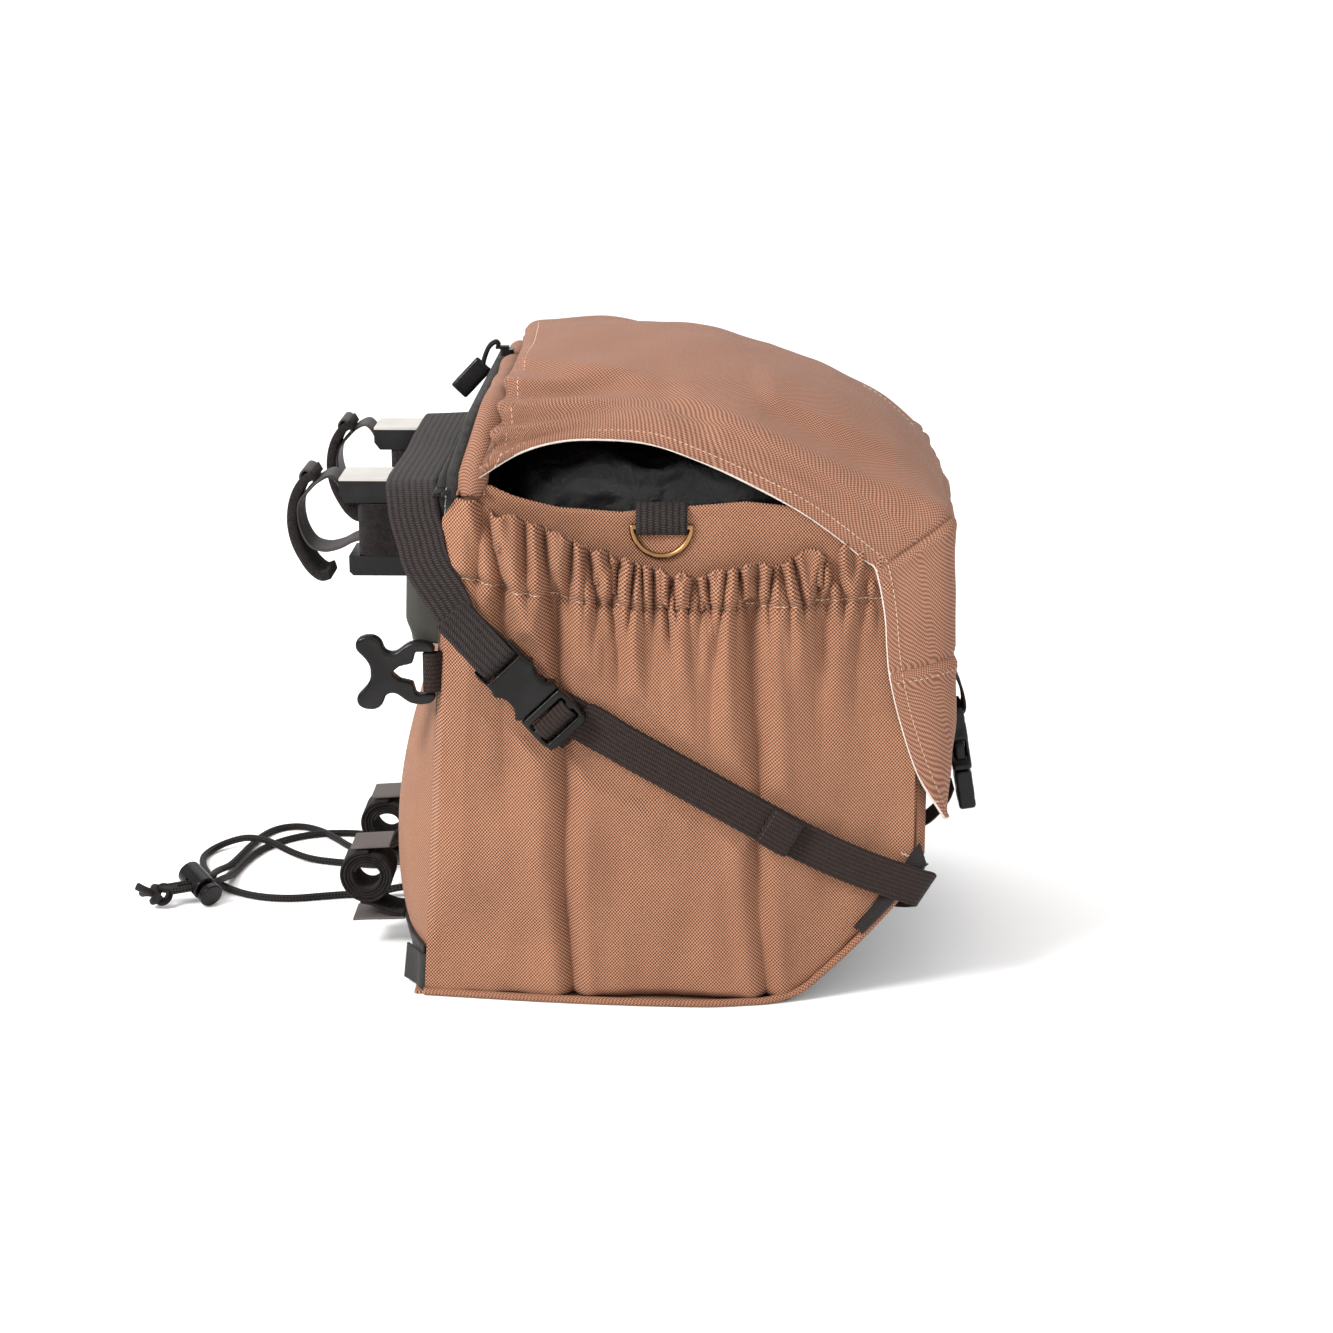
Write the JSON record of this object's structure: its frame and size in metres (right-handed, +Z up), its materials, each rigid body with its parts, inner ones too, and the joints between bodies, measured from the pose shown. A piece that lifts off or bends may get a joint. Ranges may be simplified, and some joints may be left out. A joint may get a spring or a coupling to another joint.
{
  "type": "binocular harness pack",
  "caption": "Boxy canvas field pack with a lift-up buckled lid, gathered side pockets, D-rings, a padded back with bar-mount blocks and strap loops, and a locking bungee.",
  "frame": {"origin": "on the floor, midway across and midway front to back of the pack with its buckles and bar loops, without the loose bungee", "axes": "+Z up; +Y from the lid's front flap towards the padded back, bar loops and bungee; +X to the left of a person looking along +Y is negative, so the pictured side is -X"},
  "size_m": [0.2802, 0.4482, 0.321],
  "materials": {
    "canvas": "woven oxford canvas",
    "black_fabric": "woven black fabric",
    "liner_fabric": "shiny coated black nylon",
    "webbing": "ribbed charcoal webbing",
    "hook_loop": "fuzzy hook-and-loop",
    "pad": "smooth grey-green rubberised pad",
    "black_plastic": "satin black plastic",
    "block_plastic": "gloss black plastic",
    "cap_plate": "satin plate",
    "antique_brass": "antique brass",
    "steel": "plain",
    "board": "stiffener sheet",
    "cord": "braided elastic cord",
    "elastic": "hidden elastic",
    "tab_plastic": "grey-brown coated tab"
  },
  "bodies": {
    "pack": {"back_pad": "pad", "back_panel": "canvas", "bar_loop_left": "hook_loop", "bar_loop_right": "hook_loop", "base_back_band": "black_fabric", "base_board": "board", "base_panel": "canvas", "block_caps": "cap_plate", "block_screws": "steel", "bungee_a": "cord", "bungee_b": "cord", "bungee_c": "cord", "bungee_ports": "block_plastic", "clip_loops": "webbing", "cord_knot": "cord", "corner_binding": "black_fabric", "edge_piping": "canvas", "frame_sheet": "board", "front_panel": "canvas", "front_webbing": "webbing", "keeper_strap_roll_left": "hook_loop", "keeper_strap_roll_right": "hook_loop", "keeper_tabs": "tab_plastic", "liner": "liner_fabric", "lock_barrel": "black_plastic", "lock_spring": "steel", "lower_strap_left": "webbing", "lower_strap_right": "webbing", "pocket_elastics": "elastic", "ring_tab_left": "webbing", "ring_tab_right": "webbing", "side_buckle_female_left": "black_plastic", "side_buckle_female_right": "black_plastic", "side_panel_left": "canvas", "side_panel_right": "canvas", "side_pocket_left": "canvas", "side_pocket_right": "canvas", "standoff_block_left": "block_plastic", "standoff_block_right": "block_plastic", "underside_panel": "black_fabric", "upper_strap": "webbing", "zip_gusset": "canvas", "zip_tape": "black_fabric"},
    "lid": {"lid_top": "canvas", "lid_flap": "canvas", "flap_webbing": "webbing", "front_buckle_female_right": "black_plastic", "front_buckle_female_left": "black_plastic"},
    "zip_pull": {"zip_slider": "black_plastic", "zip_pull_cord": "cord", "zip_pull_tab": "black_plastic"},
    "lock_button": {"lock_button": "black_plastic"},
    "front_plug_right": {"front_buckle_male_right": "black_plastic"},
    "side_plug_right": {"side_buckle_male_right": "black_plastic"},
    "ring_right": {"d_ring_right": "antique_brass"},
    "clip_right": {"harness_clip_right": "black_plastic"},
    "front_plug_left": {"front_buckle_male_left": "black_plastic"},
    "side_plug_left": {"side_buckle_male_left": "black_plastic"},
    "ring_left": {"d_ring_left": "antique_brass"},
    "clip_left": {"harness_clip_left": "black_plastic"}
  },
  "joints": [
    {"name": "lid_hinge", "type": "hinge", "parent": "pack", "child": "lid", "pos_m": [0, 0.062, 0.311], "axis": [-1, 0, 0], "range_deg": [0, 110]},
    {"name": "front_plug_right_release", "type": "slide", "parent": "lid", "child": "front_plug_right", "axis": [0, -0.16, -0.9871], "range_m": [0, 0.02]},
    {"name": "side_plug_right_release", "type": "slide", "parent": "pack", "child": "side_plug_right", "axis": [0, -0.69, -0.7238], "range_m": [0, 0.02]},
    {"name": "ring_right_swing", "type": "hinge", "parent": "pack", "child": "ring_right", "pos_m": [-0.1146, -0.0145, 0.242], "axis": [0, 1, 0], "range_deg": [0, 100]},
    {"name": "clip_right_swing", "type": "hinge", "parent": "pack", "child": "clip_right", "pos_m": [-0.1182, 0.099, 0.1695], "axis": [0, 0, 1], "range_deg": [-10, 80]},
    {"name": "front_plug_left_release", "type": "slide", "parent": "lid", "child": "front_plug_left", "axis": [0, -0.16, -0.9871], "range_m": [0, 0.02]},
    {"name": "side_plug_left_release", "type": "slide", "parent": "pack", "child": "side_plug_left", "axis": [0, -0.69, -0.7238], "range_m": [0, 0.02]},
    {"name": "ring_left_swing", "type": "hinge", "parent": "pack", "child": "ring_left", "pos_m": [0.1146, -0.0145, 0.242], "axis": [0, -1, 0], "range_deg": [0, 100]},
    {"name": "clip_left_swing", "type": "hinge", "parent": "pack", "child": "clip_left", "pos_m": [0.1182, 0.099, 0.1695], "axis": [0, 0, -1], "range_deg": [-10, 80]},
    {"name": "zip_run", "type": "slide", "parent": "pack", "child": "zip_pull", "axis": [1, 0, 0], "range_m": [-0.115, 0]},
    {"name": "lock_press", "type": "slide", "parent": "pack", "child": "lock_button", "axis": [0.6872, 0.6409, 0.342], "range_m": [0, 0.003], "stiffness_N_per_m": 600}
  ]
}
